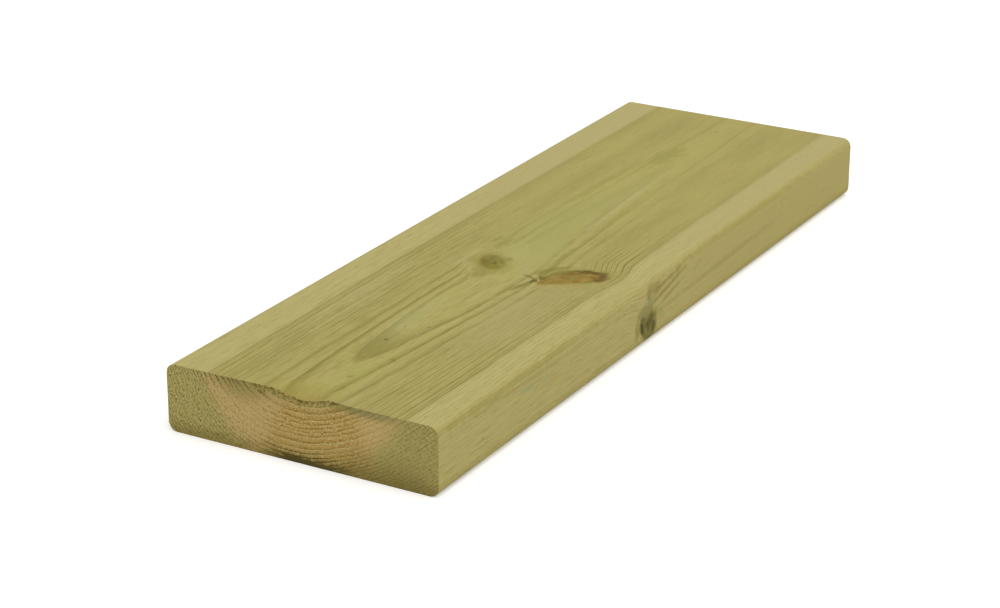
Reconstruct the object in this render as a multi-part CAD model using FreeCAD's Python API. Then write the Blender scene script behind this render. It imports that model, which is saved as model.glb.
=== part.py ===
# Planed softwood decking board, pressure treated, smooth on both faces, in a short length.
# It is one sawn and planed piece: a rectangular section whose four long arrises are rounded
# by the planer's cutters, cut square at both ends, which keep their sharp sawn edges.
#
# Frame: +X along the grain, +Y across the board, +Z up through the thickness.
# The origin is the centre of the underside, halfway along the board.
# All sizes are in millimetres.

import FreeCAD, Part
import os
from math import cos, radians, sin

# Driving dimensions
length = 380.0
width = 120.0
thickness = 28.0
arris_radius = 4.0


def corner_arc(centre_y, centre_z, start_angle):
    """A quarter circle of the arris radius, drawn anticlockwise in the plane of the near end."""
    near_end_x = -length / 2

    def point(angle):
        turn = radians(angle)
        return FreeCAD.Vector(
            near_end_x,
            centre_y + arris_radius * cos(turn),
            centre_z + arris_radius * sin(turn),
        )

    return Part.Arc(point(start_angle), point(start_angle + 45), point(start_angle + 90))


def board_section():
    """The planed section at the near end: four flats joined by four rounded arrises."""
    side_y = width / 2 - arris_radius
    low_z = arris_radius
    high_z = thickness - arris_radius
    arcs = [
        corner_arc(side_y, high_z, 0),
        corner_arc(-side_y, high_z, 90),
        corner_arc(-side_y, low_z, 180),
        corner_arc(side_y, low_z, 270),
    ]
    edges = []
    for arc, following in zip(arcs, arcs[1:] + arcs[:1]):
        edges.append(arc.toShape())
        edges.append(Part.LineSegment(arc.EndPoint, following.StartPoint).toShape())
    return Part.Face(Part.Wire(edges))


def board():
    """The section run along the grain, from one square sawn end to the other."""
    return board_section().extrude(FreeCAD.Vector(length, 0, 0))


def write_node(name, shape):
    if not shape.isValid() or shape.Volume <= 0:
        raise RuntimeError(name + " is not a sound solid")
    shape.exportStep("parts/" + name + ".step")


os.makedirs("parts", exist_ok=True)
write_node("board", board())
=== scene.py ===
import math

import bmesh
import bpy
from mathutils import Matrix, Vector


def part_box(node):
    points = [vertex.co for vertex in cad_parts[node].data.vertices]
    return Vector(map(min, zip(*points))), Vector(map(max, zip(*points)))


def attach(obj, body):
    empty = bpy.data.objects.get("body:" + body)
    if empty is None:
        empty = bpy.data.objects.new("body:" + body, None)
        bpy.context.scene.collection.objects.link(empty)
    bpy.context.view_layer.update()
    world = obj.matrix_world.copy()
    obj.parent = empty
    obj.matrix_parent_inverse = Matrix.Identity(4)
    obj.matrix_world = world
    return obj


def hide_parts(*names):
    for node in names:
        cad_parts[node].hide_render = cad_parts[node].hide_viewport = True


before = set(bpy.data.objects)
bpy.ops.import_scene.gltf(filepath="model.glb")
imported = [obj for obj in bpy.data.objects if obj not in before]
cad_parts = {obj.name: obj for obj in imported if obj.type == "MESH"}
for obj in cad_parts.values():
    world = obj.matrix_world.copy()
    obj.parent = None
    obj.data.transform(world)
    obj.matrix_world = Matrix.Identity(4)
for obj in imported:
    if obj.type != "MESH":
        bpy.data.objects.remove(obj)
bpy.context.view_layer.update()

boardLow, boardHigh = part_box("board")
mm = 0.001


def linearColour(hexText):
    # sRGB hex to the linear values that the nodes take
    parts = [int(hexText[i : i + 2], 16) / 255 for i in (1, 3, 5)]
    linear = [c / 12.92 if c < 0.04045 else ((c + 0.055) / 1.055) ** 2.4 for c in parts]
    return (*linear, 1.0)


def addNode(tree, kind, inputs=(), output=0, **settings):
    # one node with its settings; an input is a socket to link or a value to set
    node = tree.nodes.new(kind)
    for name, value in settings.items():
        setattr(node, name, value)
    for key, value in inputs.items() if isinstance(inputs, dict) else enumerate(inputs):
        if isinstance(value, bpy.types.NodeSocket):
            tree.links.new(value, node.inputs[key])
        elif value is not None:
            node.inputs[key].default_value = value
    return node.outputs[output] if node.outputs else node


def followProfile(tree, value, points):
    # reads a profile drawn through a few points: the value along, the answer up
    alongs = [point[0] for point in points]
    ups = [point[1] for point in points]
    along = addNode(tree, "ShaderNodeMapRange", {0: value, 1: alongs[0], 2: alongs[-1]})
    drawn = addNode(tree, "ShaderNodeFloatCurve", {1: along})
    line = drawn.node.mapping.curves[0]
    low, high = min(ups), max(ups)
    spots = [((a - alongs[0]) / (alongs[-1] - alongs[0]), (u - low) / (high - low)) for a, u in points]
    line.points[0].location = spots[0]
    line.points[1].location = spots[-1]
    for spot in spots[1:-1]:
        line.points.new(*spot)
    for point in line.points:
        point.handle_type = "AUTO_CLAMPED"
    drawn.node.mapping.update()
    return addNode(tree, "ShaderNodeMapRange", {0: drawn, 3: low, 4: high})


def lay(tree, under, over, value, low, high, most=1.0, within=None):
    # lays one colour over another as a value runs from low to high; colours are sockets or sRGB hex text
    amount = addNode(
        tree, "ShaderNodeMapRange", {0: value, 1: low, 2: high, 4: most}, interpolation_type="SMOOTHSTEP"
    )
    if within is not None:
        amount = addNode(tree, "ShaderNodeMath", [amount, within], operation="MULTIPLY")
    under, over = [linearColour(c) if isinstance(c, str) else c for c in (under, over)]
    return addNode(tree, "ShaderNodeMix", {0: amount, 6: under, 7: over}, output=2, data_type="RGBA")


def fromSpot(tree, place, at, size, turn=0.0):
    # how far a place lies from a spot on the board, where 1 is the spot's own edge; a spot on the
    # long edge turns towards +Z, and any other one towards +Y
    onEdge = at[1] < -59
    away = addNode(tree, "ShaderNodeVectorMath", [place, at], operation="SUBTRACT")
    away = addNode(
        tree, "ShaderNodeVectorRotate", {"Vector": away, "Angle": math.radians(turn if onEdge else -turn)},
        rotation_type="Y_AXIS" if onEdge else "Z_AXIS",
    )
    away = addNode(tree, "ShaderNodeVectorMath", [away, tuple(1 / s for s in size)], operation="MULTIPLY")
    return addNode(tree, "ShaderNodeVectorMath", [away], output=1, operation="LENGTH")


# The wood itself: one solid field of growth rings, read by both materials.
# All places and sizes are in millimetres, in the board's own frame.
wood = {
    "top": 28.0,
    "pithAcross": -9.5,  # the pith ran above the board, left of its middle
    "pithAbove": 40.15,
    "ringLean": 0.248,
    "ringFlare": 0.00153,
    "firstRing": 39.0,  # ring distance at the top face, at the near end
    "wander": 0.5,  # how far the grain wanders off its line
    "wanderLength": (70.0, 13.0, 13.0),
    # how much nearer the pith lies along the board: nearest beside the whorl of knots
    "pithRise": [(-190, 0.0), (-110, -1.8), (-50, -2.75), (-10, -2.0), (60, -1.3), (131, -0.72), (190, -0.25)],
    # ring number against ring distance: wide young rings, then narrower ones
    "ringNumbers": [
        (-4.0, 0.1), (-2.2, 1), (-0.6, 2), (1.3, 3), (4.3, 4), (7.2, 5),
        (11.6, 7), (16.5, 10), (21.6, 12), (31.2, 18), (58.0, 37),
    ],
    # how strongly the latewood shows, against ring distance
    "lineStrength": [
        (-4.0, 0.1), (-2.2, 0.15), (-1.6, 0.6), (-0.9, 1.0), (-0.4, 0.9), (1.3, 0.75), (4.3, 0.6),
        (7.2, 0.6), (12.0, 0.65), (15.0, 0.6), (18.0, 0.75), (21.6, 0.8), (22.8, 0.45), (31.0, 0.5), (58.0, 0.5),
    ],
    # how olive the ground between the lines is, against ring distance
    "groundTone": [(-4.0, 0.1), (0.0, 0.2), (4.5, 0.4), (9.0, 0.45), (13.0, 0.3), (17.0, 0.35), (22.0, 0.7)],
    "heartwood": 21.7,
    "softFrom": -70.0,  # the grain grows calmer and softer along the board, between these two places
    "softTo": 90.0,
}

# Knots of one whorl. Each is a branch: a line that starts at "start", leaves along "away" and bends
# by "bend"; "measure" is the direction in which the distance along it is counted.
knots = [
    {
        "name": "round",
        "start": (-36.0, 6.0, 28.0), "measure": (0.0, 0.0, -1.0),
        "away": (0.965, 0.627, -1.0), "bend": (0.0, 0.0, 0.0), "lean": (0.633, 0.411, -0.656),
        "radius": 5.3, "taper": 0.0, "grows": (-14.0, -8.0), "pushes": (-14.0, -8.0),
        "push": 2.0, "reach": 12.5, "rag": 2.4,
    },
    {
        "name": "spike",
        "start": (-48.0, -15.0, 33.0), "measure": (0.0, -1.0, 0.0),
        "away": (1.0, -1.0, -0.30), "bend": (-0.0096, 0.0, -0.00515), "lean": (0.426, -0.775, -0.465),
        "radius": 8.2, "taper": -1.7, "grows": (0.0, 9.0), "pushes": (6.0, 24.0),
        "push": 3.4, "reach": 12.5, "rag": 5.0,
    },
]


def growFigure(tree, metres, softEdge):
    # the ring field at a place: ring distance, latewood, knots and the fine fibre; "softEdge" is
    # the share of a ring at which its latewood ends on the calmer half of the board
    place = addNode(tree, "ShaderNodeVectorMath", {0: metres, 3: 1000.0}, operation="SCALE")
    slow = addNode(
        tree, "ShaderNodeVectorMath", [place, tuple(1 / s for s in wood["wanderLength"])],
        operation="MULTIPLY",
    )
    wandering = addNode(tree, "ShaderNodeTexNoise", {"Vector": slow, "Scale": 1.0, "Detail": 2.0}, output=1)
    wandering = addNode(tree, "ShaderNodeVectorMath", [wandering, (0.5, 0.5, 0.5)], operation="SUBTRACT")
    swing = wood["wander"] * 2
    moved = addNode(
        tree, "ShaderNodeVectorMath", [wandering, (0.0, swing, swing), place], operation="MULTIPLY_ADD"
    )
    x, y, z = addNode(tree, "ShaderNodeSeparateXYZ", [moved]).node.outputs
    rise = followProfile(tree, x, wood["pithRise"])

    # across from the pith, and down from it
    drift = addNode(tree, "ShaderNodeMath", [x, -0.005, -0.95], operation="MULTIPLY_ADD")
    shift = addNode(tree, "ShaderNodeMath", [rise, 0.75, drift], operation="MULTIPLY_ADD")
    outerShift = addNode(tree, "ShaderNodeMapRange", {0: x, 1: -190.0, 2: -60.0, 3: 0.0, 4: 1.1})
    aside = addNode(tree, "ShaderNodeMath", [y, 3.0], operation="ADD")
    aside = addNode(tree, "ShaderNodeMath", [aside], operation="ABSOLUTE")
    outer = addNode(tree, "ShaderNodeMapRange", {0: aside, 1: 18.0, 2: 44.0}, interpolation_type="SMOOTHSTEP")
    shift = addNode(tree, "ShaderNodeMix", {0: outer, 2: shift, 3: outerShift}, data_type="FLOAT")
    fromMiddle = addNode(tree, "ShaderNodeMath", [y, shift], operation="SUBTRACT")
    across = addNode(tree, "ShaderNodeMath", [fromMiddle, wood["pithAcross"]], operation="SUBTRACT")
    flare = addNode(tree, "ShaderNodeMath", [across, wood["ringFlare"], 1.0], operation="MULTIPLY_ADD")
    sideways = addNode(tree, "ShaderNodeMath", [across, flare], operation="MULTIPLY")
    risen = addNode(tree, "ShaderNodeMath", [rise, z], operation="SUBTRACT")
    leaning = addNode(tree, "ShaderNodeMath", [across, -wood["ringLean"], risen], operation="MULTIPLY_ADD")
    down = addNode(tree, "ShaderNodeMath", [leaning, wood["pithAbove"] + wood["top"]], operation="ADD")
    arm = addNode(tree, "ShaderNodeCombineXYZ", [sideways, down])
    reach = addNode(tree, "ShaderNodeVectorMath", [arm], output=1, operation="LENGTH")
    rings = addNode(tree, "ShaderNodeMath", [reach, wood["firstRing"]], operation="SUBTRACT")
    tightest = addNode(tree, "ShaderNodeMapRange", {0: outer, 3: 1.08, 4: 1.03})
    tighter = addNode(
        tree, "ShaderNodeMapRange", {0: x, 1: -190.0, 2: -80.0, 3: 1.0, 4: tightest},
        interpolation_type="SMOOTHSTEP",
    )
    rings = addNode(tree, "ShaderNodeMath", [rings, tighter], operation="MULTIPLY")

    # each branch carries the rings out along itself
    ragPlace = addNode(tree, "ShaderNodeVectorMath", {0: place, 3: 0.3}, operation="SCALE")
    rag = addNode(tree, "ShaderNodeTexNoise", {"Vector": ragPlace, "Scale": 1.0, "Detail": 3.0, "Roughness": 0.6})
    rag = addNode(tree, "ShaderNodeMath", [rag, 0.5], operation="SUBTRACT")
    branches = {}
    for knot in knots:
        fromStart = addNode(tree, "ShaderNodeVectorMath", [moved, knot["start"]], operation="SUBTRACT")
        run = addNode(
            tree, "ShaderNodeVectorMath", [fromStart, knot["measure"]], output=1, operation="DOT_PRODUCT"
        )
        bent = addNode(tree, "ShaderNodeVectorMath", {0: knot["bend"], 3: run}, operation="SCALE")
        heading = addNode(tree, "ShaderNodeVectorMath", [bent, knot["away"]], operation="ADD")
        centre = addNode(tree, "ShaderNodeVectorMath", {0: heading, 3: run}, operation="SCALE")
        off = addNode(tree, "ShaderNodeVectorMath", [fromStart, centre], operation="SUBTRACT")
        turned = addNode(tree, "ShaderNodeVectorMath", [off, knot["lean"]], operation="CROSS_PRODUCT")
        away = addNode(tree, "ShaderNodeVectorMath", [turned], output=1, operation="LENGTH")
        start, full = knot["grows"]
        radius = addNode(
            tree, "ShaderNodeMapRange", {0: run, 1: start, 2: full, 3: -2.0, 4: knot["radius"]},
            interpolation_type="SMOOTHSTEP",
        )
        slimmer = addNode(tree, "ShaderNodeMapRange", {0: run, 1: 14.0, 2: 44.0, 3: 0.0, 4: knot["taper"]})
        radius = addNode(tree, "ShaderNodeMath", [radius, slimmer], operation="ADD")
        depth = addNode(tree, "ShaderNodeMath", [away, radius], operation="SUBTRACT")
        push = addNode(
            tree, "ShaderNodeMapRange",
            {0: depth, 1: knot["reach"], 2: -0.4 * knot["radius"], 3: 0.0, 4: knot["push"]},
            interpolation_type="SMOOTHSTEP",
        )
        begin, whole = knot["pushes"]
        fade = addNode(
            tree, "ShaderNodeMapRange", {0: run, 1: begin, 2: whole}, interpolation_type="SMOOTHSTEP"
        )
        push = addNode(tree, "ShaderNodeMath", [push, fade], operation="MULTIPLY")
        rings = addNode(tree, "ShaderNodeMath", [rings, push], operation="SUBTRACT")
        ragged = addNode(tree, "ShaderNodeMath", [rag, knot["rag"], depth], operation="MULTIPLY_ADD")
        offX, offY, offZ = addNode(tree, "ShaderNodeSeparateXYZ", [off]).node.outputs
        branches[knot["name"]] = {
            "depth": depth, "ragged": ragged, "away": away, "run": run, "offX": offX, "offY": offY, "offZ": offZ,
        }

    number = followProfile(tree, rings, wood["ringNumbers"])
    ring = addNode(tree, "ShaderNodeMath", [number], operation="FLOOR")
    share = addNode(tree, "ShaderNodeMath", [number], operation="FRACT")
    chance = addNode(tree, "ShaderNodeTexWhiteNoise", {"W": ring}, noise_dimensions="1D")

    # latewood darkens towards the end of each ring and stops short at its edge
    wide = addNode(tree, "ShaderNodeMapRange", {0: rings, 1: 4.0, 2: 9.0, 3: 0.05, 4: 0.35})
    begins = addNode(tree, "ShaderNodeMath", [chance, 0.25, wide], operation="MULTIPLY_ADD")
    darkening = addNode(
        tree, "ShaderNodeMapRange", {0: share, 1: begins, 2: 0.97}, interpolation_type="SMOOTHSTEP"
    )
    soft = addNode(
        tree, "ShaderNodeMapRange", {0: x, 1: wood["softFrom"], 2: wood["softTo"]},
        interpolation_type="SMOOTHSTEP",
    )
    ends = addNode(tree, "ShaderNodeMapRange", {0: soft, 3: 0.88, 4: softEdge})
    edge = addNode(
        tree, "ShaderNodeMapRange", {0: share, 1: 1.0, 2: ends}, interpolation_type="SMOOTHSTEP"
    )
    latewood = addNode(tree, "ShaderNodeMath", [darkening, edge], operation="MULTIPLY")

    # fibre: streaks along the grain that follow the rings round the knots
    fibrePlace = addNode(tree, "ShaderNodeCombineXYZ", [x, rings, across])
    return {
        "place": place, "x": x, "rings": rings, "number": number, "share": share, "chance": chance,
        "latewood": latewood, "soft": soft, "fibrePlace": fibrePlace, "branches": branches, "arm": arm, "rag": rag,
    }


# Marks on this board, in millimetres: bark pockets, resin, preservative salts and stain.
# "turn" is in degrees, from the board's length towards +Y on the top, and towards +Z on the long edge.
marks = [
    {"at": (-84.0, -32.0, 28), "size": (34.0, 13.0, 5.0), "turn": 2, "colour": "#b6ab74", "strength": 0.32},
    {"at": (-188.0, 0.0, 28), "size": (9.0, 13.0, 9.0), "colour": "#a5964c", "strength": 0.5},
    {"at": (-190.0, -1.0, 28), "size": (3.0, 10.0, 9.0), "colour": "#a38d4c", "strength": 0.6},
    {"at": (-160.0, -9.0, 28), "size": (16.0, 5.0, 4.0), "colour": "#a9a558", "strength": 0.35},
    {"at": (8.0, 4.0, 28), "size": (48.0, 13.0, 5.0), "turn": 3, "colour": "#a3a35e", "strength": 0.45},
    {"at": (-14.0, -8.0, 28), "size": (22.0, 10.0, 5.0), "turn": 12, "colour": "#a5a560", "strength": 0.35},
    {"at": (60.0, -3.0, 28), "size": (30.0, 6.0, 5.0), "colour": "#a5a362", "strength": 0.35},
    {"at": (122.0, 4.5, 28), "size": (17.0, 4.5, 4.0), "turn": -3, "colour": "#948e46", "strength": 0.5},
    {"at": (70.0, 12.5, 28), "size": (32.0, 1.6, 4.0), "turn": -3, "colour": "#979046", "strength": 0.45},
    {"at": (30.0, -14.5, 28), "size": (40.0, 1.5, 4.0), "turn": 4, "colour": "#979048", "strength": 0.45},
    {"at": (55.0, -8.5, 28), "size": (40.0, 1.2, 4.0), "turn": 3, "colour": "#bab177", "strength": 0.5},
    {"at": (-105.0, 3.0, 28), "size": (22.0, 5.0, 4.0), "colour": "#abac70", "strength": 0.35},
    {"at": (-136.0, 0.5, 28), "size": (14.0, 6.0, 4.0), "turn": 4, "colour": "#8f8742", "strength": 0.5},
    {"at": (-90.0, 35.0, 28), "size": (34.0, 2.5, 6.0), "colour": "#b9ae76", "strength": 0.4},
    {"at": (-105.0, 29.5, 28), "size": (24.0, 1.2, 6.0), "colour": "#b9ae76", "strength": 0.4},
    {"at": (-22.0, 1.0, 28), "size": (12.0, 5.0, 4.0), "turn": 30, "colour": "#b2aa6a", "strength": 0.5},
    {"at": (-28.0, -10.0, 28), "size": (20.0, 4.0, 4.0), "turn": 8, "colour": "#aea767", "strength": 0.5},
    {"at": (-49.0, 4.0, 28), "size": (5.5, 4.0, 3.0), "turn": 25, "colour": "#918343", "strength": 0.6},
    {"at": (-37.0, 15.5, 28), "size": (4.0, 1.8, 3.0), "turn": 30, "colour": "#958c4a", "strength": 0.5},
    {"at": (-29.5, 1.5, 28), "size": (2.0, 1.6, 3.0), "colour": "#8a7f3c", "strength": 0.6},
    {"at": (-12.0, 18.3, 28), "size": (5.0, 1.2, 3.0), "turn": -8, "colour": "#8f8742", "strength": 0.5},
    {"at": (-14.0, 12.8, 28), "size": (8.0, 1.5, 3.0), "turn": -6, "colour": "#928a46", "strength": 0.6},
    {"at": (-36.0, 18.2, 28), "size": (13.0, 1.0, 3.0), "colour": "#b8ae76", "strength": 0.5},
    {"at": (-53.0, -17.6, 28), "size": (8.0, 1.2, 2.0), "turn": -14, "colour": "#7f7835", "strength": 0.75},
    {"at": (-46.2, -19.4, 28), "size": (2.8, 1.2, 2.0), "turn": -20, "colour": "#5f5823", "strength": 0.9},
    {"at": (-42.8, -15.6, 28), "size": (1.1, 2.4, 2.0), "turn": -20, "colour": "#7d7034", "strength": 0.75},
    {"at": (-44.4, -20.6, 28), "size": (1.5, 0.5, 1.0), "turn": 35, "colour": "#c0b67e", "strength": 0.8},
    {"at": (-41.6, -20.6, 28), "size": (3.2, 0.8, 2.0), "turn": 55, "colour": "#716729", "strength": 0.75},
    {"at": (-35.0, -18.2, 28), "size": (4.6, 2.3, 2.0), "turn": -20, "colour": "#827b35", "strength": 0.8},
    {"at": (-29.4, -21.2, 28), "size": (6.6, 1.9, 2.0), "turn": -42, "colour": "#877f39", "strength": 0.7},
    {"at": (-20.0, -17.2, 28), "size": (13.0, 1.1, 2.0), "turn": 4, "colour": "#8b8340", "strength": 0.55},
    {"at": (-20.8, -60.0, 17.8), "size": (4.0, 4.0, 1.6), "turn": -20, "colour": "#8b9669", "strength": 0.65},
    {"at": (-11.0, -60.0, 10.3), "size": (4.0, 4.0, 1.6), "turn": -35, "colour": "#96995f", "strength": 0.45},
    {"at": (-12.0, -60.0, 8.0), "size": (2.2, 3.0, 0.7), "colour": "#b08d5c", "strength": 0.4},
    {"at": (-125.0, -60.0, 18.6), "size": (5.0, 4.0, 1.2), "colour": "#929b6d", "strength": 0.55},
    {"at": (-109.0, -60.0, 17.6), "size": (5.5, 4.0, 1.2), "colour": "#9a9f6b", "strength": 0.4},
    {"at": (-104.0, -60.0, 14.5), "size": (6.0, 4.0, 1.5), "colour": "#b0965c", "strength": 0.35},
    {"at": (-16.0, -60.0, 22.4), "size": (5.5, 4.0, 3.4), "colour": "#93813f", "strength": 0.6},
    {"at": (-21.8, -60.0, 22.6), "size": (1.8, 4.0, 3.6), "turn": 6, "colour": "#887833", "strength": 0.5},
    {"at": (-3.0, -60.0, 23.2), "size": (15.0, 4.0, 0.9), "turn": 8, "colour": "#8b7c38", "strength": 0.6},
    {"at": (-4.0, -60.0, 19.6), "size": (15.0, 4.0, 0.9), "turn": 12, "colour": "#887834", "strength": 0.6},
    {"at": (-3.0, -60.0, 15.8), "size": (11.0, 4.0, 0.9), "turn": 12, "colour": "#8f803c", "strength": 0.5},
    {"at": (-140.0, -59.5, 25.0), "size": (70.0, 3.0, 1.3), "turn": -0.3, "colour": "#9a8d42", "strength": 0.5},
    {"at": (-130.0, -59.5, 22.0), "size": (45.0, 2.0, 0.8), "turn": -1, "colour": "#9a8d48", "strength": 0.4},
    {"at": (70.0, -59.5, 25.5), "size": (70.0, 3.0, 1.2), "colour": "#9c8f46", "strength": 0.4},
    {"at": (45.0, -60.0, 13.0), "size": (60.0, 2.0, 1.2), "turn": 1.5, "colour": "#958748", "strength": 0.35},
    {"at": (-25.0, -60.0, 15.2), "size": (7.0, 3.0, 2.3), "colour": "#988f56", "strength": 0.95},
    {"at": (-32.3, -60.0, 8.5), "size": (2.0, 3.0, 3.2), "colour": "#8a7a34", "strength": 0.6},
    {"at": (-27.6, -60.0, 8.0), "size": (1.4, 3.0, 2.6), "turn": 10, "colour": "#40391a", "strength": 0.7},
    {"at": (-19.6, -60.0, 11.0), "size": (1.6, 3.0, 2.2), "turn": -15, "colour": "#484323", "strength": 0.4},
    {"at": (-22.0, -60.0, 8.2), "size": (1.5, 3.0, 2.6), "turn": 8, "colour": "#4b4420", "strength": 0.55},
    {"at": (-21.5, -60.0, 3.2), "size": (4.0, 3.0, 2.2), "colour": "#857f4c", "strength": 0.4},
    {"at": (-129.0, 0.0, 28), "size": (0.8, 0.6, 2.0), "colour": "#5b5226", "strength": 0.75},
    {"at": (-114.0, 0.5, 28), "size": (0.8, 0.5, 2.0), "colour": "#746a35", "strength": 0.6},
    {"at": (-110.0, -8.0, 28), "size": (0.8, 0.5, 2.0), "colour": "#655c2b", "strength": 0.7},
    {"at": (-145.0, -13.0, 28), "size": (2.2, 1.3, 2.0), "turn": 30, "colour": "#857b3b", "strength": 0.6},
    {"at": (-166.0, -7.5, 28), "size": (1.6, 0.9, 2.0), "turn": -30, "colour": "#7d7436", "strength": 0.6},
]


def addMarks(tree, colour, place, ragged):
    for mark in marks:
        away = fromSpot(tree, place, mark["at"], mark["size"], mark.get("turn", 0))
        away = addNode(tree, "ShaderNodeMath", [ragged, 2.2, away], operation="MULTIPLY_ADD")
        colour = lay(tree, colour, mark["colour"], away, 1.6, 0.4, mark["strength"])
    return colour


def colourKnots(tree, figure, colour):
    # the round knot: olive brown, browner on its upper right, with faint rings, and painted shade for a small split at
    # its heart
    knot = figure["branches"]["round"]
    waves = addNode(tree, "ShaderNodeMath", [knot["ragged"], 3.1], operation="MULTIPLY")
    waves = addNode(tree, "ShaderNodeMath", [waves], operation="SINE")
    body = lay(tree, "#857722", "#746719", waves, -1.0, 1.0, 0.35)
    upper = addNode(tree, "ShaderNodeMath", [knot["offX"], 0.5, knot["offY"]], operation="MULTIPLY_ADD")
    body = lay(tree, body, "#6c5c16", upper, -1.5, 3.0, 0.6)
    body = lay(tree, body, "#75671c", knot["ragged"], -2.2, -0.4, 0.5)
    body = lay(tree, body, "#6a5c17", knot["away"], 3.0, 0.6, 0.6)
    colour = lay(tree, colour, "#8d7f2c", knot["ragged"], 4.6, 0.4, 0.6)
    colour = lay(tree, colour, body, knot["ragged"], 1.1, -0.9, 0.97)
    # painted shade of a small split at the knot's heart, which the mesh doesn't have
    heart = fromSpot(tree, figure["place"], (-36.2, 4.6, 28.0), (2.2, 0.7, 3.0), 38)
    colour = lay(tree, colour, "#5a5020", heart, 1.6, 0.4, 0.85)

    # the spike knot: sawn along its branch, orange brown on one side, with bark on the other
    knot = figure["branches"]["spike"]
    # its grain runs along the branch
    grainPlace = addNode(tree, "ShaderNodeCombineXYZ", [knot["offX"], knot["run"], knot["offZ"]])
    grainPlace = addNode(tree, "ShaderNodeVectorMath", [grainPlace, (0.42, 0.14, 0.42)], operation="MULTIPLY")
    grain = addNode(
        tree, "ShaderNodeTexNoise", {"Vector": grainPlace, "Scale": 1.0, "Detail": 3.0, "Roughness": 0.55}
    )
    sideways = addNode(tree, "ShaderNodeMath", [grain, 8.0, -4.0], operation="MULTIPLY_ADD")
    sideways = addNode(tree, "ShaderNodeMath", [sideways, knot["offX"]], operation="ADD")
    blotch = addNode(tree, "ShaderNodeTexNoise", {"Vector": figure["place"], "Scale": 0.24, "Detail": 2.0})
    along = addNode(tree, "ShaderNodeMath", [blotch, -14.0, 7.0], operation="MULTIPLY_ADD")
    along = addNode(tree, "ShaderNodeMath", [along, knot["run"]], operation="ADD")
    body = lay(tree, "#947a2b", "#8c742e", sideways, -4.0, -1.0)
    body = lay(tree, body, "#8c7530", sideways, -0.5, 2.0)
    body = lay(tree, body, "#9e893f", along, 17.0, 22.0, 0.6)
    body = lay(tree, body, "#75601e", sideways, 2.0, 5.0)
    body = lay(tree, body, "#8a682a", blotch, 0.5, 0.64, 0.45)
    body = lay(tree, body, "#665018", grain, 0.52, 0.72, 0.65)
    body = lay(tree, body, "#a8924f", grain, 0.45, 0.3, 0.5)
    # green on its upper right side, where it leaves the middle of the board
    greenSide = addNode(tree, "ShaderNodeMath", [knot["offX"], -1.2, along], operation="MULTIPLY_ADD")
    body = lay(tree, body, "#8a8238", greenSide, 7.0, 0.5, 0.9)
    # bark round its lower right side
    right = addNode(
        tree, "ShaderNodeMapRange", {0: knot["offX"], 1: 0.5, 2: 5.0}, interpolation_type="SMOOTHSTEP"
    )
    late = addNode(
        tree, "ShaderNodeMapRange", {0: knot["run"], 1: 9.0, 2: 17.0}, interpolation_type="SMOOTHSTEP"
    )
    bark = addNode(tree, "ShaderNodeMath", [late, right], operation="MULTIPLY")
    low = addNode(
        tree, "ShaderNodeMapRange", {0: knot["run"], 1: 23.0, 2: 26.0}, interpolation_type="SMOOTHSTEP"
    )
    bark = addNode(tree, "ShaderNodeMath", [bark, low], operation="MAXIMUM")
    rim = addNode(tree, "ShaderNodeMath", [figure["rag"], 6.0, knot["depth"]], operation="MULTIPLY_ADD")
    body = lay(tree, body, "#5c4715", rim, -4.2, -1.2, 0.8, within=bark)
    # on the long edge the same branch is dark and greenish
    edgeBody = lay(tree, "#7c7638", "#5f5927", blotch, 0.4, 0.6)
    body = lay(tree, body, edgeBody, knot["run"], 28.0, 37.0)
    colour = lay(tree, colour, "#948940", knot["ragged"], 2.6, 0.0, 0.5)
    return lay(tree, colour, body, knot["ragged"], 1.1, -1.3, 0.97)


def sinkAt(tree, x, y):
    # how far the top face sinks into the hollow at the near end, in millimetres
    run = addNode(
        tree, "ShaderNodeMapRange", {0: x, 1: -190.0, 2: -190.0 + boardShape["hollowRun"], 3: 1.0, 4: 0.0},
        interpolation_type="SMOOTHSTEP",
    )
    sunk = followProfile(tree, y, boardShape["hollow"])
    return addNode(tree, "ShaderNodeMath", [sunk, run], operation="MULTIPLY")


def newMaterial(name):
    material = bpy.data.materials.new(name)
    material.use_nodes = True
    tree = material.node_tree
    tree.nodes.clear()
    coordinates = addNode(tree, "ShaderNodeTexCoord", output="Object")
    return material, tree, coordinates


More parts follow.
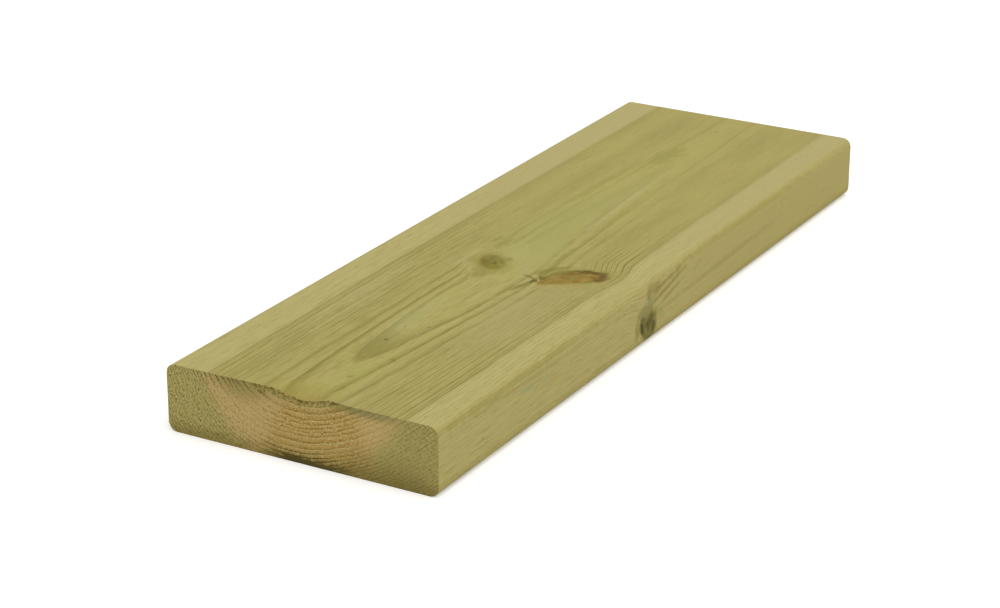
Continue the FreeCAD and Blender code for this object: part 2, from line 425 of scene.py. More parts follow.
def makePlanedPine():
    # planed, pressure-treated pine: a dull olive-yellow face, with darker latewood lines
    # that shine a little more than the soft early wood between them
    material, tree, coordinates = newMaterial("planedTreatedPine")
    # the hollow at the near end doesn't bend the lines of the top face
    x, y, z = addNode(tree, "ShaderNodeSeparateXYZ", [coordinates]).node.outputs
    alongBoard = addNode(tree, "ShaderNodeMath", [x, 1000.0], operation="MULTIPLY")
    acrossBoard = addNode(tree, "ShaderNodeMath", [y, 1000.0], operation="MULTIPLY")
    sunk = sinkAt(tree, alongBoard, acrossBoard)
    inTop = addNode(tree, "ShaderNodeMath", [z, 14 * mm], operation="GREATER_THAN")
    lift = addNode(tree, "ShaderNodeMath", [sunk, inTop], operation="MULTIPLY")
    lift = addNode(tree, "ShaderNodeMath", [lift, mm, z], operation="MULTIPLY_ADD")
    level = addNode(tree, "ShaderNodeCombineXYZ", [x, y, lift])
    figure = growFigure(tree, level, softEdge=0.6)
    place = figure["place"]
    tone = followProfile(tree, figure["rings"], wood["groundTone"])
    cloudPlace = addNode(tree, "ShaderNodeVectorMath", [place, (1 / 45, 1 / 9, 1 / 9)], operation="MULTIPLY")
    clouds = addNode(tree, "ShaderNodeTexNoise", {"Vector": cloudPlace, "Scale": 1.0, "Detail": 3.0})
    tone = addNode(tree, "ShaderNodeMath", [clouds, 0.9, tone], operation="MULTIPLY_ADD")
    tone = addNode(tree, "ShaderNodeMath", [tone, 0.45], operation="SUBTRACT", use_clamp=True)
    ground = lay(tree, "#b1a661", "#a09354", tone, 0.0, 1.0)
    sapStart = addNode(tree, "ShaderNodeMapRange", {0: figure["soft"], 3: -0.9, 4: -1.2})
    sapStart = addNode(tree, "ShaderNodeMath", [sapStart, wood["heartwood"]], operation="ADD")
    sapEnd = addNode(tree, "ShaderNodeMapRange", {0: figure["soft"], 3: 1.0, 4: 1.6})
    sapEnd = addNode(tree, "ShaderNodeMath", [sapEnd, wood["heartwood"]], operation="ADD")
    paleStrip = lay(tree, "#c0b474", "#b9ad72", figure["soft"], 0.0, 1.0)
    ground = lay(tree, ground, paleStrip, figure["rings"], sapStart, sapEnd)

    # the two long edges were planed across the growth rings, with fainter lines; their ground is painted darker and
    # more saturated to offset the sheen that the light puts on them, and painted shade darkens them where they meet
    # the underside
    x, y, z = addNode(tree, "ShaderNodeSeparateXYZ", [place]).node.outputs
    aside = addNode(tree, "ShaderNodeMath", [y], operation="ABSOLUTE")
    side = addNode(
        tree, "ShaderNodeMapRange", {0: aside, 1: 57.0, 2: 59.8}, interpolation_type="SMOOTHSTEP"
    )
    sheenOffset = addNode(tree, "ShaderNodeMapRange", {0: figure["soft"], 3: 0.35, 4: 0.7})
    # a darker, more saturated ground painted on the long edges to offset their sheen
    ground = lay(tree, ground, "#b4a662", side, 0.0, 1.0, sheenOffset)
    # painted shade: the long edges darken towards the underside
    ground = lay(tree, ground, "#978a40", z, 6.5, 1.0, 0.45, within=side)
    calmSide = addNode(tree, "ShaderNodeMapRange", {0: side, 3: 1.0, 4: 0.72})

    strength = followProfile(tree, figure["rings"], wood["lineStrength"])
    varied = addNode(tree, "ShaderNodeMath", [figure["chance"], 0.5, 0.6], operation="MULTIPLY_ADD")
    strength = addNode(tree, "ShaderNodeMath", [strength, varied], operation="MULTIPLY")
    inner = addNode(tree, "ShaderNodeMapRange", {0: figure["rings"], 1: 10.0, 2: 5.0, 3: 0.45, 4: 0.64})
    softer = addNode(tree, "ShaderNodeMapRange", {0: figure["soft"], 3: 1.0, 4: inner})
    strength = addNode(tree, "ShaderNodeMath", [strength, softer], operation="MULTIPLY")
    strength = addNode(tree, "ShaderNodeMath", [strength, calmSide], operation="MULTIPLY")
    # calm round the round knot and before the spike knot, and dark where the rings crowd behind it
    calm = addNode(
        tree, "ShaderNodeMapRange",
        {0: figure["branches"]["round"]["depth"], 1: 3.0, 2: 13.0, 3: 0.35, 4: 1.0},
        interpolation_type="SMOOTHSTEP",
    )
    strength = addNode(tree, "ShaderNodeMath", [strength, calm], operation="MULTIPLY")
    before = fromSpot(tree, place, (-50.0, -40.0, 28.0), (15.0, 9.0, 12.0))
    before = addNode(tree, "ShaderNodeMapRange", {0: before, 1: 0.4, 2: 1.25, 3: 0.55, 4: 1.0})
    strength = addNode(tree, "ShaderNodeMath", [strength, before], operation="MULTIPLY")
    behind = fromSpot(tree, place, (-9.0, -40.0, 28.0), (19.0, 9.0, 12.0))
    behind = addNode(tree, "ShaderNodeMapRange", {0: behind, 1: 1.25, 2: 0.4, 3: 1.0, 4: 2.4})
    strength = addNode(tree, "ShaderNodeMath", [strength, behind], operation="MULTIPLY")
    lines = addNode(tree, "ShaderNodeMath", [figure["latewood"], strength], operation="MULTIPLY", use_clamp=True)
    colour = lay(tree, ground, "#847832", lines, 0.0, 1.0)

    # fine false rings, two to a ring of the outer heartwood, clearest on the near half
    halves = addNode(tree, "ShaderNodeMath", [figure["number"], 2.0], operation="MULTIPLY")
    half = addNode(tree, "ShaderNodeMath", [halves], operation="FLOOR")
    luck = addNode(tree, "ShaderNodeTexWhiteNoise", {"W": half}, noise_dimensions="1D")
    luck = addNode(tree, "ShaderNodeMapRange", {0: luck, 3: 0.3, 4: 1.0})
    halfShare = addNode(tree, "ShaderNodeMath", [halves], operation="FRACT")
    fine = addNode(tree, "ShaderNodeMath", [halfShare, 0.75], operation="SUBTRACT")
    fine = addNode(tree, "ShaderNodeMath", [fine], operation="ABSOLUTE")
    outerWood = addNode(tree, "ShaderNodeMapRange", {0: figure["rings"], 1: 6.0, 2: 11.0})
    outerWood = addNode(tree, "ShaderNodeMath", [outerWood, luck], operation="MULTIPLY")
    nearHalf = addNode(tree, "ShaderNodeMapRange", {0: figure["soft"], 3: 1.0, 4: 0.15})
    outerWood = addNode(tree, "ShaderNodeMath", [outerWood, nearHalf], operation="MULTIPLY")
    outerWood = addNode(tree, "ShaderNodeMath", [outerWood, calmSide], operation="MULTIPLY")
    colour = lay(tree, colour, "#81753a", fine, 0.3, 0.05, 0.6, within=outerWood)

    # fibre streaks, drawn about 0.5 mm wide so that they show
    streakPlace = addNode(
        tree, "ShaderNodeVectorMath", [figure["fibrePlace"], (1 / 11, 1 / 0.55, 1 / 0.55)], operation="MULTIPLY"
    )
    streaks = addNode(
        tree, "ShaderNodeTexNoise", {"Vector": streakPlace, "Scale": 1.0, "Detail": 3.0, "Roughness": 0.6}
    )
    calmer = addNode(tree, "ShaderNodeMapRange", {0: figure["soft"], 3: 1.0, 4: 0.35})
    calmer = addNode(tree, "ShaderNodeMath", [calmer, calmSide], operation="MULTIPLY")
    colour = lay(tree, colour, "#857937", streaks, 0.5, 0.72, 0.5, within=calmer)
    colour = lay(tree, colour, "#c4b97e", streaks, 0.5, 0.28, 0.45, within=calmer)

    # resin canals: sparse short dark dashes along the grain
    dashPlace = addNode(
        tree, "ShaderNodeVectorMath", [figure["fibrePlace"], (1 / 3.5, 1 / 0.6, 1 / 0.6)], operation="MULTIPLY"
    )
    dashes = addNode(tree, "ShaderNodeTexNoise", {"Vector": dashPlace, "Scale": 1.0, "Detail": 1.0})
    colour = lay(tree, colour, "#6b6028", dashes, 0.7, 0.78, 0.5)

    colour = colourKnots(tree, figure, colour)
    colour = addMarks(tree, colour, place, figure["rag"])

    # latewood stands a little proud of the early wood, and the fibre lies between
    height = addNode(tree, "ShaderNodeMath", [streaks, 0.7], operation="MULTIPLY")
    height = addNode(tree, "ShaderNodeMath", [figure["latewood"], 0.5, height], operation="MULTIPLY_ADD")
    bump = addNode(tree, "ShaderNodeBump", {"Strength": 0.5, "Distance": 0.12 * mm, "Height": height})
    roughness = addNode(tree, "ShaderNodeMapRange", {0: figure["latewood"], 3: 0.72, 4: 0.6})
    shader = addNode(
        tree, "ShaderNodeBsdfPrincipled",
        {"Base Color": colour, "Roughness": roughness, "Normal": bump, "Specular IOR Level": 0.1, "IOR": 1.5},
    )
    addNode(tree, "ShaderNodeOutputMaterial", {"Surface": shader})
    return material


def makeSawnPine():
    # sawn end grain: rough and matt, pinkish heartwood that the preservative didn't reach,
    # olive sapwood round it, with pale specks painted as highlights on the cut fibres, and darker specks
    material, tree, coordinates = newMaterial("sawnTreatedPine")
    # the saw drags the rings a few tenths of a millimetre off their line
    dragged = addNode(tree, "ShaderNodeTexNoise", {"Vector": coordinates, "Scale": 450.0, "Detail": 2.0}, output=1)
    dragged = addNode(tree, "ShaderNodeVectorMath", [dragged, (0.5, 0.5, 0.5)], operation="SUBTRACT")
    dragged = addNode(
        tree, "ShaderNodeVectorMath", [dragged, (0.0, 1.1 * mm, 1.1 * mm), coordinates],
        operation="MULTIPLY_ADD",
    )
    figure = growFigure(tree, dragged, softEdge=0.88)
    place = figure["place"]
    x, y, z = addNode(tree, "ShaderNodeSeparateXYZ", [place]).node.outputs

    # rays run out from the pith across the rings; with the rings they make a fine mesh,
    # drawn about 0.8 mm wide so that it shows
    armX, armDown, armZ = addNode(tree, "ShaderNodeSeparateXYZ", [figure["arm"]]).node.outputs
    turn = addNode(tree, "ShaderNodeMath", [armX, armDown], operation="ARCTAN2")
    rayPlace = addNode(tree, "ShaderNodeMath", [turn, 75.0], operation="MULTIPLY")
    meshPlace = addNode(tree, "ShaderNodeCombineXYZ", [rayPlace, figure["rings"], 0.0])
    raysPlace = addNode(tree, "ShaderNodeVectorMath", [meshPlace, (1.25, 0.8, 1.0)], operation="MULTIPLY")
    rays = addNode(
        tree, "ShaderNodeTexNoise", {"Vector": raysPlace, "Scale": 1.0, "Detail": 3.0, "Roughness": 0.7}
    )
    # blots, and bands of stronger and weaker colour, long along the rings
    blotPlace = addNode(tree, "ShaderNodeVectorMath", [place, (0.2, 0.16, 0.25)], operation="MULTIPLY")
    blots = addNode(
        tree, "ShaderNodeTexNoise", {"Vector": blotPlace, "Scale": 1.0, "Detail": 4.0, "Roughness": 0.6}
    )
    bandPlace = addNode(tree, "ShaderNodeVectorMath", [meshPlace, (0.13, 0.55, 1.0)], operation="MULTIPLY")
    bandPlace = addNode(
        tree, "ShaderNodeVectorMath", [blots, (5.0, 0.6, 0.0), bandPlace], operation="MULTIPLY_ADD"
    )
    bands = addNode(
        tree, "ShaderNodeTexNoise", {"Vector": bandPlace, "Scale": 1.0, "Detail": 3.0, "Roughness": 0.6}
    )

    # the preservative reaches further in from the underside
    lower = addNode(tree, "ShaderNodeMath", [z, 0.22, figure["rings"]], operation="MULTIPLY_ADD")
    lower = addNode(tree, "ShaderNodeMath", [blots, 8.0, lower], operation="MULTIPLY_ADD")
    sapwood = addNode(
        tree, "ShaderNodeMapRange", {0: lower, 1: 28.5, 2: 37.0}, interpolation_type="SMOOTHSTEP"
    )
    ground = lay(tree, "#caae71", "#b7a966", sapwood, 0.0, 1.0)
    ground = lay(tree, ground, "#a89a5b", y, -30.0, -50.0, 0.85)
    lateColour = lay(tree, "#957b40", "#777033", sapwood, 0.0, 1.0)

    # the middle rings stand out more: patches of orange-brown latewood, and thin pale lines painted as highlights on
    # the raised early wood
    middle = addNode(tree, "ShaderNodeMath", [turn, 0.06], operation="SUBTRACT")
    middle = addNode(tree, "ShaderNodeMath", [middle], operation="ABSOLUTE")
    middle = addNode(
        tree, "ShaderNodeMapRange", {0: middle, 1: 0.5, 2: 0.22}, interpolation_type="SMOOTHSTEP"
    )
    upper = addNode(tree, "ShaderNodeMapRange", {0: z, 1: 9.0, 2: 15.0}, interpolation_type="SMOOTHSTEP")
    upper = addNode(tree, "ShaderNodeMath", [upper, middle], operation="MULTIPLY")
    lateHalf = addNode(tree, "ShaderNodeMapRange", {0: figure["share"], 1: 0.25, 2: 0.65})
    lateHalf = addNode(tree, "ShaderNodeMath", [lateHalf, upper], operation="MULTIPLY")
    ground = lay(tree, ground, "#ba9d58", middle, 0.0, 1.0, 0.85)
    ground = lay(tree, ground, "#a8823c", figure["share"], 0.35, 0.85, 0.4, within=middle)
    ground = lay(tree, ground, "#ad7d34", bands, 0.45, 0.62, 0.75, within=lateHalf)
    lateColour = lay(tree, lateColour, "#866a30", middle, 0.0, 1.0)
    strength = addNode(tree, "ShaderNodeMath", [figure["chance"], 0.55, 0.08], operation="MULTIPLY_ADD")
    strength = addNode(tree, "ShaderNodeMath", [middle, 0.15, strength], operation="MULTIPLY_ADD")
    strength = addNode(tree, "ShaderNodeMath", [sapwood, 0.25, strength], operation="MULTIPLY_ADD")
    leastBroken = addNode(tree, "ShaderNodeMapRange", {0: middle, 3: 0.1, 4: 0.7})
    mostBroken = addNode(tree, "ShaderNodeMapRange", {0: middle, 3: 1.7, 4: 1.2})
    broken = addNode(tree, "ShaderNodeMapRange", {0: rays, 1: 0.36, 2: 0.62, 3: leastBroken, 4: mostBroken})
    strength = addNode(tree, "ShaderNodeMath", [strength, broken], operation="MULTIPLY")
    patchy = addNode(tree, "ShaderNodeMapRange", {0: bands, 1: 0.38, 2: 0.6, 3: 0.4, 4: 1.4})
    strength = addNode(tree, "ShaderNodeMath", [strength, patchy], operation="MULTIPLY")
    # calmer towards the top right
    toRight = addNode(tree, "ShaderNodeMath", [z, -1.2, y], operation="MULTIPLY_ADD")
    calmRight = addNode(
        tree, "ShaderNodeMapRange", {0: toRight, 1: -54.0, 2: -34.0, 3: 0.6, 4: 1.0},
        interpolation_type="SMOOTHSTEP",
    )
    strength = addNode(tree, "ShaderNodeMath", [strength, calmRight], operation="MULTIPLY")
    lines = addNode(tree, "ShaderNodeMath", [figure["latewood"], strength], operation="MULTIPLY", use_clamp=True)
    colour = lay(tree, ground, lateColour, lines, 0.0, 1.0)
    # painted highlight: thin pale crescents along the raised ridges just after each ring's edge
    ridgeHighlight = addNode(tree, "ShaderNodeMapRange", {0: bands, 1: 0.6, 2: 0.42, 3: 0.15, 4: 0.85})
    ridgeHighlight = addNode(tree, "ShaderNodeMath", [ridgeHighlight, middle], operation="MULTIPLY")
    colour = lay(tree, colour, "#d6c485", figure["share"], 0.26, 0.05, within=ridgeHighlight)

    # the mesh is strongest in the sapwood and weakest in the middle
    meshed = addNode(tree, "ShaderNodeMapRange", {0: middle, 3: 0.95, 4: 0.5})
    meshed = addNode(tree, "ShaderNodeMath", [sapwood, 0.25, meshed], operation="MULTIPLY_ADD")
    meshed = addNode(tree, "ShaderNodeMath", [meshed, calmRight], operation="MULTIPLY")
    colour = lay(tree, colour, "#726530", rays, 0.5, 0.7, 0.75, within=meshed)
    colour = lay(tree, colour, "#d6c588", rays, 0.47, 0.3, 0.65, within=meshed)
    # pale specks painted as highlights on the raised cut fibres, most in the upper middle; darker specks in the middle
    speckPlace = addNode(tree, "ShaderNodeVectorMath", [meshPlace, (0.9, 1.3, 1.0)], operation="MULTIPLY")
    specks = addNode(tree, "ShaderNodeTexNoise", {"Vector": speckPlace, "Scale": 1.0, "Detail": 2.0})
    colour = lay(tree, colour, "#dcc98e", specks, 0.56, 0.68, 0.75, within=upper)
    colour = lay(tree, colour, "#d2bd7c", specks, 0.58, 0.7, 0.5, within=middle)
    colour = lay(tree, colour, "#75602c", specks, 0.43, 0.32, 0.6, within=middle)

    # damp and dirt along the underside, deepest in the middle, drawn up along the latewood
    depth = addNode(tree, "ShaderNodeMath", [blots, -9.0, z], operation="MULTIPLY_ADD")
    depth = addNode(tree, "ShaderNodeMath", [figure["latewood"], -3.4, depth], operation="MULTIPLY_ADD")
    depth = addNode(tree, "ShaderNodeMath", [rays, -6.0, depth], operation="MULTIPLY_ADD")
    colour = lay(tree, colour, "#796d36", depth, 0.0, -7.5, 0.5)
    inMiddle = fromSpot(tree, place, (-190.0, -4.0, 0.0), (30.0, 24.0, 60.0))
    inMiddle = addNode(
        tree, "ShaderNodeMapRange", {0: inMiddle, 1: 1.0, 2: 0.4}, interpolation_type="SMOOTHSTEP"
    )
    colour = lay(tree, colour, "#4b4522", depth, -3.3, -6.9, 0.85, within=inMiddle)
    damp = fromSpot(tree, place, (-190.0, -37.0, 0.0), (30.0, 26.0, 14.0))
    damp = addNode(tree, "ShaderNodeMath", [rays, 1.2, damp], operation="MULTIPLY_ADD")
    colour = lay(tree, colour, "#766a35", damp, 1.8, 0.9, 0.4)

    # green salts drawn in from the top face, a grey-green streak and a paler cloud below it
    nearEnd = addNode(tree, "ShaderNodeMath", [x, 0.0], operation="LESS_THAN")
    sunk = followProfile(tree, y, boardShape["hollow"])
    lip = addNode(tree, "ShaderNodeMath", [sunk, z], operation="ADD")
    fromTear = addNode(tree, "ShaderNodeMath", [y, -2.0], operation="ADD")
    fromTear = addNode(tree, "ShaderNodeMath", [fromTear], operation="ABSOLUTE")
    nearTear = addNode(
        tree, "ShaderNodeMapRange", {0: fromTear, 1: 46.0, 2: 30.0}, interpolation_type="SMOOTHSTEP"
    )
    nearTear = addNode(tree, "ShaderNodeMath", [nearTear, nearEnd], operation="MULTIPLY")
    leastSoaked = addNode(tree, "ShaderNodeMapRange", {0: sunk, 1: 1.6, 2: 0.2, 3: 0.3, 4: 1.0})
    nearTear = addNode(tree, "ShaderNodeMath", [nearTear, leastSoaked], operation="MULTIPLY")
    soaked = addNode(tree, "ShaderNodeMath", [figure["latewood"], 3.0, lip], operation="MULTIPLY_ADD")
    soaked = addNode(tree, "ShaderNodeMath", [rays, 4.0, soaked], operation="MULTIPLY_ADD")
    colour = lay(tree, colour, "#7b7338", soaked, 25.5, 31.5, 0.7, within=nearTear)
    streak = fromSpot(tree, place, (-190.0, -31.0, 27.2), (30.0, 15.0, 2.2))
    streak = addNode(tree, "ShaderNodeMath", [rays, 1.2, streak], operation="MULTIPLY_ADD")
    colour = lay(tree, colour, "#8f8a5a", streak, 1.9, 0.9, 0.6)
    cloud = fromSpot(tree, place, (-190.0, 25.0, 25.0), (30.0, 13.0, 5.0))
    cloud = addNode(tree, "ShaderNodeMath", [rays, 1.2, cloud], operation="MULTIPLY_ADD")
    colour = lay(tree, colour, "#94894e", cloud, 1.9, 0.9, 0.5)

    # painted shade in small notches where the latewood meets the top face, left of the middle
    notchShade = addNode(tree, "ShaderNodeMath", [rays, 5.0, lip], operation="MULTIPLY_ADD")
    notchShade = addNode(tree, "ShaderNodeMapRange", {0: notchShade, 1: 24.0, 2: 30.0})
    notchShade = addNode(tree, "ShaderNodeMath", [notchShade, figure["latewood"]], operation="MULTIPLY")
    brokenNotch = addNode(tree, "ShaderNodeMapRange", {0: rays, 1: 0.38, 2: 0.58, 3: 0.25, 4: 1.1})
    notchShade = addNode(tree, "ShaderNodeMath", [notchShade, brokenNotch], operation="MULTIPLY")
    leftward = followProfile(tree, y, [(-12, 0.4), (8, 1.0), (38, 1.0), (50, 0.5)])
    leftward = addNode(tree, "ShaderNodeMath", [leftward, nearEnd], operation="MULTIPLY")
    # painted shade of the notches
    colour = lay(tree, colour, "#564b1a", notchShade, 0.12, 0.7, 0.9, within=leftward)

    # the torn top edge: dark pits painted as the shade in its hollows, over a band of pale fibres
    fibrePlace = addNode(tree, "ShaderNodeVectorMath", [place, (0.3, 0.75, 0.6)], operation="MULTIPLY")
    fibres = addNode(
        tree, "ShaderNodeTexNoise", {"Vector": fibrePlace, "Scale": 1.0, "Detail": 3.0, "Roughness": 0.7}
    )
    tornWidth = addNode(
        tree, "ShaderNodeMapRange", {0: fromTear, 1: 26.0, 2: 16.0}, interpolation_type="SMOOTHSTEP"
    )
    tornWidth = addNode(tree, "ShaderNodeMath", [tornWidth, nearEnd], operation="MULTIPLY")
    band = lay(tree, "#948244", "#c9b672", fibres, 0.38, 0.6)
    colour = lay(tree, colour, band, lip, 25.2, 26.4, 0.8, within=tornWidth)
    pitShade = addNode(tree, "ShaderNodeTexNoise", {"Vector": fibrePlace, "Scale": 1.0, "Detail": 2.0})
    # painted shade in the torn hollows
    torn = addNode(tree, "ShaderNodeMath", [pitShade, 14.0, lip], operation="MULTIPLY_ADD")
    colour = lay(tree, colour, "#62521a", torn, 33.9, 35.6, 0.85, within=tornWidth)

    height = addNode(tree, "ShaderNodeMath", [rays, meshed], operation="MULTIPLY")
    height = addNode(tree, "ShaderNodeMath", [figure["latewood"], 0.4, height], operation="MULTIPLY_ADD")
    height = addNode(tree, "ShaderNodeMath", [specks, 0.5, height], operation="MULTIPLY_ADD")
    bump = addNode(tree, "ShaderNodeBump", {"Strength": 0.8, "Distance": 0.5 * mm, "Height": height})
    shader = addNode(
        tree, "ShaderNodeBsdfPrincipled",
        {"Base Color": colour, "Roughness": 0.9, "Normal": bump, "Specular IOR Level": 0.05, "IOR": 1.5},
    )
    addNode(tree, "ShaderNodeOutputMaterial", {"Surface": shader})
    return material


boardShape = {
    "arrisRadius": 4.0,
    "arrisSteps": 6,
    "gridStep": 1.15,  # of the mesh across the board and through it
    # zones along the board, from the near end: where each ends, and the mesh step in it
    "alongZones": [(-184.0, 1.0), (-174.0, 1.5), (186.0, 3.0), (190.0, 1.0)],
    "tornCuts": 2,
    "sawDepth": 0.22,  # roughness left by the saw on both ends
    "sawGrain": 1.3,
    # a shallow hollow broken out of the near end's top edge: how far it sinks, from right to left
    "hollow": [(-13, 0.0), (-9.5, 0.9), (-7, 1.7), (-4.5, 2.1), (-1, 2.3), (3, 2.1), (6.5, 1.5), (9, 0.8), (12, 0.0)],
    "hollowRun": 10.0,
    "hollowHeight": 7.0,
    # torn fibres along the same edge: how deep, from right to left
    "tornDepth": [(-24, 0.0), (-19, 0.5), (-12, 1.2), (-6, 1.4), (2, 1.4), (10, 1.2), (18, 0.9), (27, 0.5), (34, 0.0)],
    "tornHeight": 2.6,
}


def selectInEdit(board, kind, wanted):
    # selects the faces or edges that a test picks, and nothing else
    bpy.ops.mesh.select_mode(type=kind)
    bpy.ops.mesh.select_all(action="DESELECT")
    editMesh = bmesh.from_edit_mesh(board.data)
    for item in editMesh.edges if kind == "EDGE" else editMesh.faces:
        item.select = wanted(item)
    editMesh.select_flush_mode()
    bmesh.update_edit_mesh(board.data)


def sliceAcross(direction, places):
    for place in places:
        bpy.ops.mesh.select_all(action="SELECT")
        bpy.ops.mesh.bisect(plane_co=Vector(direction) * place * mm, plane_no=direction)


def evenPlaces(low, high, step):
    count = max(1, round((high - low) / step))
    return [low + (high - low) * i / count for i in range(1, count)]


def alongX(edge):
    return abs(edge.verts[0].co.x - edge.verts[1].co.x) > 0.1 * mm


def makeBoard():
    bpy.ops.object.select_all(action="DESELECT")
    size = boardHigh - boardLow
    bpy.ops.mesh.primitive_cube_add(size=1, location=(boardLow + boardHigh) / 2, scale=size)
    board = bpy.context.object
    board.name = "decking_board"
    bpy.ops.object.transform_apply(location=True, rotation=True, scale=True)

    bpy.ops.object.mode_set(mode="EDIT")
    selectInEdit(board, "EDGE", alongX)
    bpy.ops.mesh.bevel(offset=boardShape["arrisRadius"] * mm, segments=boardShape["arrisSteps"], affect="EDGES")

    low, high = boardLow / mm, boardHigh / mm
    radius = boardShape["arrisRadius"]
    step = boardShape["gridStep"]
    sliceAcross((0, 1, 0), [low.y + radius, *evenPlaces(low.y + radius, high.y - radius, step), high.y - radius])
    sliceAcross((0, 0, 1), [low.z + radius, *evenPlaces(low.z + radius, high.z - radius, step), high.z - radius])
    zoneStart = low.x
    for zoneEnd, zoneStep in boardShape["alongZones"]:
        if zoneEnd < high.x:
            sliceAcross((1, 0, 0), [zoneEnd])
        zoneStart = zoneEnd
    zoneStart = low.x
    for zoneEnd, zoneStep in boardShape["alongZones"]:
        cuts = round((zoneEnd - zoneStart) / zoneStep) - 1
        middle = (zoneStart + zoneEnd) / 2 * mm
        selectInEdit(
            board, "EDGE",
            lambda e: alongX(e) and abs((e.verts[0].co.x + e.verts[1].co.x) / 2 - middle) < 0.1 * mm,
        )
        while cuts > 0:
            bpy.ops.mesh.subdivide(number_cuts=min(cuts, 100))
            cuts = 0
        zoneStart = zoneEnd
    # a finer mesh where the near end's top edge is torn
    nearCorner = Vector((low.x, 0, high.z)) * mm
    selectInEdit(
        board, "FACE",
        lambda f: f.calc_center_median().x < nearCorner.x + 5.5 * mm
        and f.calc_center_median().z > nearCorner.z - 5.5 * mm,
    )
    bpy.ops.mesh.subdivide(number_cuts=boardShape["tornCuts"])
    bpy.ops.mesh.select_all(action="SELECT")
    bpy.ops.mesh.remove_doubles(threshold=0.01 * mm)
    bpy.ops.mesh.normals_make_consistent(inside=False)
    bpy.ops.object.mode_set(mode="OBJECT")
    return board


def dressBoard(board):
    board.data.materials.append(makePlanedPine())
    board.data.materials.append(makeSawnPine())
    bpy.ops.object.mode_set(mode="EDIT")
    selectInEdit(board, "FACE", lambda f: abs(f.normal.x) > 0.9)
    board.active_material_index = 1
    bpy.ops.object.material_slot_assign()
    bpy.ops.object.mode_set(mode="OBJECT")
    bpy.ops.object.shade_smooth_by_angle(angle=math.radians(35))


def roughenEnds(board):
    # one geometry-nodes modifier moves the surface inwards at the ends, and is then applied
    tree = bpy.data.node_groups.new("sawnAndTornEnds", "GeometryNodeTree")
    tree.interface.new_socket("Geometry", in_out="INPUT", socket_type="NodeSocketGeometry")
    tree.interface.new_socket("Geometry", in_out="OUTPUT", socket_type="NodeSocketGeometry")
    shape = addNode(tree, "NodeGroupInput")
    metres = addNode(tree, "GeometryNodeInputPosition")
    place = addNode(tree, "ShaderNodeVectorMath", {0: metres, 3: 1000.0}, operation="SCALE")
    x, y, z = addNode(tree, "ShaderNodeSeparateXYZ", [place]).node.outputs

    # saw roughness, on the last fifth of a millimetre of either end
    fromEnd = addNode(tree, "ShaderNodeMath", [x], operation="ABSOLUTE")
    atEnd = addNode(tree, "ShaderNodeMapRange", {0: fromEnd, 1: 189.7, 2: 190.0})
    grainPlace = addNode(tree, "ShaderNodeVectorMath", {0: place, 3: 1 / boardShape["sawGrain"]}, operation="SCALE")
    grain = addNode(tree, "ShaderNodeTexNoise", {"Vector": grainPlace, "Scale": 1.0, "Detail": 3.0})
    sawn = addNode(tree, "ShaderNodeMath", [grain, atEnd], operation="MULTIPLY")
    side = addNode(tree, "ShaderNodeMath", [x], operation="SIGN")
    sawn = addNode(tree, "ShaderNodeMath", [sawn, side], operation="MULTIPLY")
    sawn = addNode(tree, "ShaderNodeMath", [sawn, -boardShape["sawDepth"]], operation="MULTIPLY")

    # torn fibres
    nearEnd = addNode(tree, "ShaderNodeMapRange", {0: x, 1: -190.0, 2: -184.0, 3: 1.0, 4: 0.0})
    depth = followProfile(tree, y, boardShape["tornDepth"])
    topZone = addNode(
        tree, "ShaderNodeMapRange", {0: z, 1: 28.0 - boardShape["tornHeight"], 2: 28.0},
        interpolation_type="SMOOTHSTEP",
    )
    fibrePlace = addNode(tree, "ShaderNodeVectorMath", [place, (0.0, 0.8, 0.8)], operation="MULTIPLY")
    fibres = addNode(
        tree, "ShaderNodeTexNoise", {"Vector": fibrePlace, "Scale": 1.0, "Detail": 4.0, "Roughness": 0.75}
    )
    ragged = addNode(tree, "ShaderNodeMapRange", {0: fibres, 1: 0.36, 2: 0.64, 3: -0.1, 4: 1.3})
    torn = addNode(tree, "ShaderNodeMath", [depth, topZone], operation="MULTIPLY")
    torn = addNode(tree, "ShaderNodeMath", [torn, ragged], operation="MULTIPLY")
    torn = addNode(tree, "ShaderNodeMath", [torn, nearEnd], operation="MULTIPLY")
    inwards = addNode(tree, "ShaderNodeMath", [torn, sawn], operation="ADD")

    # the hollow: the surface sinks towards the near end
    hollowZone = addNode(
        tree, "ShaderNodeMapRange", {0: z, 1: 28.0 - boardShape["hollowHeight"], 2: 28.0, 4: -1.0},
        interpolation_type="SMOOTHSTEP",
    )
    sunk = addNode(tree, "ShaderNodeMath", [sinkAt(tree, x, y), hollowZone], operation="MULTIPLY")
    offset = addNode(tree, "ShaderNodeCombineXYZ", [inwards, 0.0, sunk])
    offset = addNode(tree, "ShaderNodeVectorMath", {0: offset, 3: mm}, operation="SCALE")
    shape = addNode(tree, "GeometryNodeSetPosition", {"Geometry": shape, "Offset": offset})
    addNode(tree, "NodeGroupOutput", {0: shape})

    modifier = board.modifiers.new("ends", "NODES")
    modifier.node_group = tree
    bpy.ops.object.modifier_apply(modifier=modifier.name)


studio = {
    "floorColour": "#f4f4f2",
    "skyLevel": 0.62,
    "keyLevel": 0.40,
    "keyFrom": (-0.10, -0.25, 0.96),
    "keyDistance": 2.2,
    "keySize": 1.6,
}


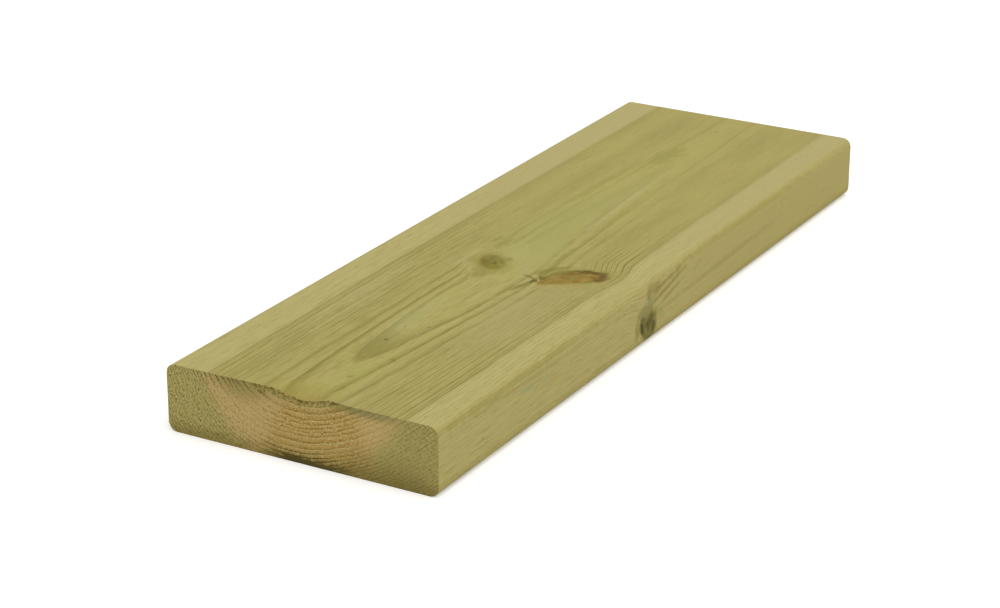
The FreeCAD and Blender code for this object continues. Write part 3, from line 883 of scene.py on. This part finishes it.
def makeStudio():
    bpy.ops.object.select_all(action="DESELECT")
    bpy.ops.mesh.primitive_plane_add(size=8, location=(0, 0, -0.05 * mm))
    floor = bpy.context.object
    floor.name = "floor"
    material = bpy.data.materials.new("paleFloor")
    material.use_nodes = True
    tree = material.node_tree
    tree.nodes.clear()
    rays = addNode(tree, "ShaderNodeLightPath").node.outputs
    matt = addNode(tree, "ShaderNodeBsdfDiffuse", {"Color": linearColour(studio["floorColour"])})
    seen = addNode(tree, "ShaderNodeMath", [rays["Is Camera Ray"], rays["Is Glossy Ray"]], operation="MAXIMUM")
    lift = addNode(tree, "ShaderNodeMath", [seen, 0.35], operation="MULTIPLY")
    glow = addNode(tree, "ShaderNodeEmission", {"Strength": lift})
    lit = addNode(tree, "ShaderNodeAddShader", [matt, glow])
    below = addNode(tree, "ShaderNodeNewGeometry", output="Backfacing")
    clear = addNode(tree, "ShaderNodeBsdfTransparent")
    surface = addNode(tree, "ShaderNodeMixShader", [below, lit, clear])
    addNode(tree, "ShaderNodeOutputMaterial", {"Surface": surface})
    floor.data.materials.append(material)

    world = bpy.data.worlds.new("paleStudio")
    bpy.context.scene.world = world
    world.use_nodes = True
    tree = world.node_tree
    tree.nodes.clear()
    rays = addNode(tree, "ShaderNodeLightPath").node.outputs
    seen = addNode(tree, "ShaderNodeMath", [rays["Is Camera Ray"], rays["Is Glossy Ray"]], operation="MAXIMUM")
    seen = addNode(tree, "ShaderNodeMath", [seen, rays["Is Transmission Ray"]], operation="MAXIMUM")
    level = addNode(tree, "ShaderNodeMapRange", {0: seen, 3: studio["skyLevel"], 4: 1.0})
    sky = addNode(tree, "ShaderNodeBackground", {"Color": (1, 1, 1, 1), "Strength": level})
    addNode(tree, "ShaderNodeOutputWorld", {"Surface": sky})

    # one broad soft lamp above the long edge that faces the camera
    direction = Vector(studio["keyFrom"]).normalized()
    bpy.ops.object.light_add(type="AREA", location=direction * studio["keyDistance"])
    lamp = bpy.context.object
    lamp.name = "softLamp"
    lamp.rotation_euler = direction.to_track_quat("Z", "Y").to_euler()
    lamp.data.size = studio["keySize"]
    lamp.data.energy = studio["keyLevel"] * (math.pi * studio["keyDistance"]) ** 2


view = {
    "azimuth": 60.401,  # degrees round from the board's length, and up
    "elevation": 21.849,
    "roll": 0.152,
    "distance": 1140.8,
    "aimRight": -19.74,  # how far the view's middle lies from the board's, in millimetres
    "aimUp": -14.90,
    "lens": 96.10,  # millimetres on a film 36 mm wide
}


def makeCamera():
    turn = math.radians(view["azimuth"])
    rise = math.radians(view["elevation"])
    forward = Vector((math.sin(turn) * math.cos(rise), math.cos(turn) * math.cos(rise), -math.sin(rise)))
    level = Vector((math.cos(turn), -math.sin(turn), 0.0))
    upright = level.cross(forward)
    roll = math.radians(view["roll"])
    right = level * math.cos(roll) + upright * math.sin(roll)
    up = upright * math.cos(roll) - level * math.sin(roll)
    middle = (boardLow + boardHigh) / 2
    place = middle - forward * view["distance"] * mm + right * view["aimRight"] * mm + up * view["aimUp"] * mm
    bpy.ops.object.camera_add(location=place)
    camera = bpy.context.object
    camera.name = "camera"
    axes = Matrix((right, up, -forward)).transposed()
    camera.rotation_euler = axes.to_euler()
    camera.data.sensor_width = 36
    camera.data.lens = view["lens"]
    camera.data.clip_start = 0.05
    bpy.context.scene.camera = camera


board = makeBoard()
print("board shaped:", len(board.data.polygons), "faces")
dressBoard(board)
print("board dressed")
roughenEnds(board)
print("ends roughened")
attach(board, "root")
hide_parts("board")
makeStudio()
makeCamera()
print("studio and camera ready")

bpy.context.scene.view_settings.view_transform = "Standard"
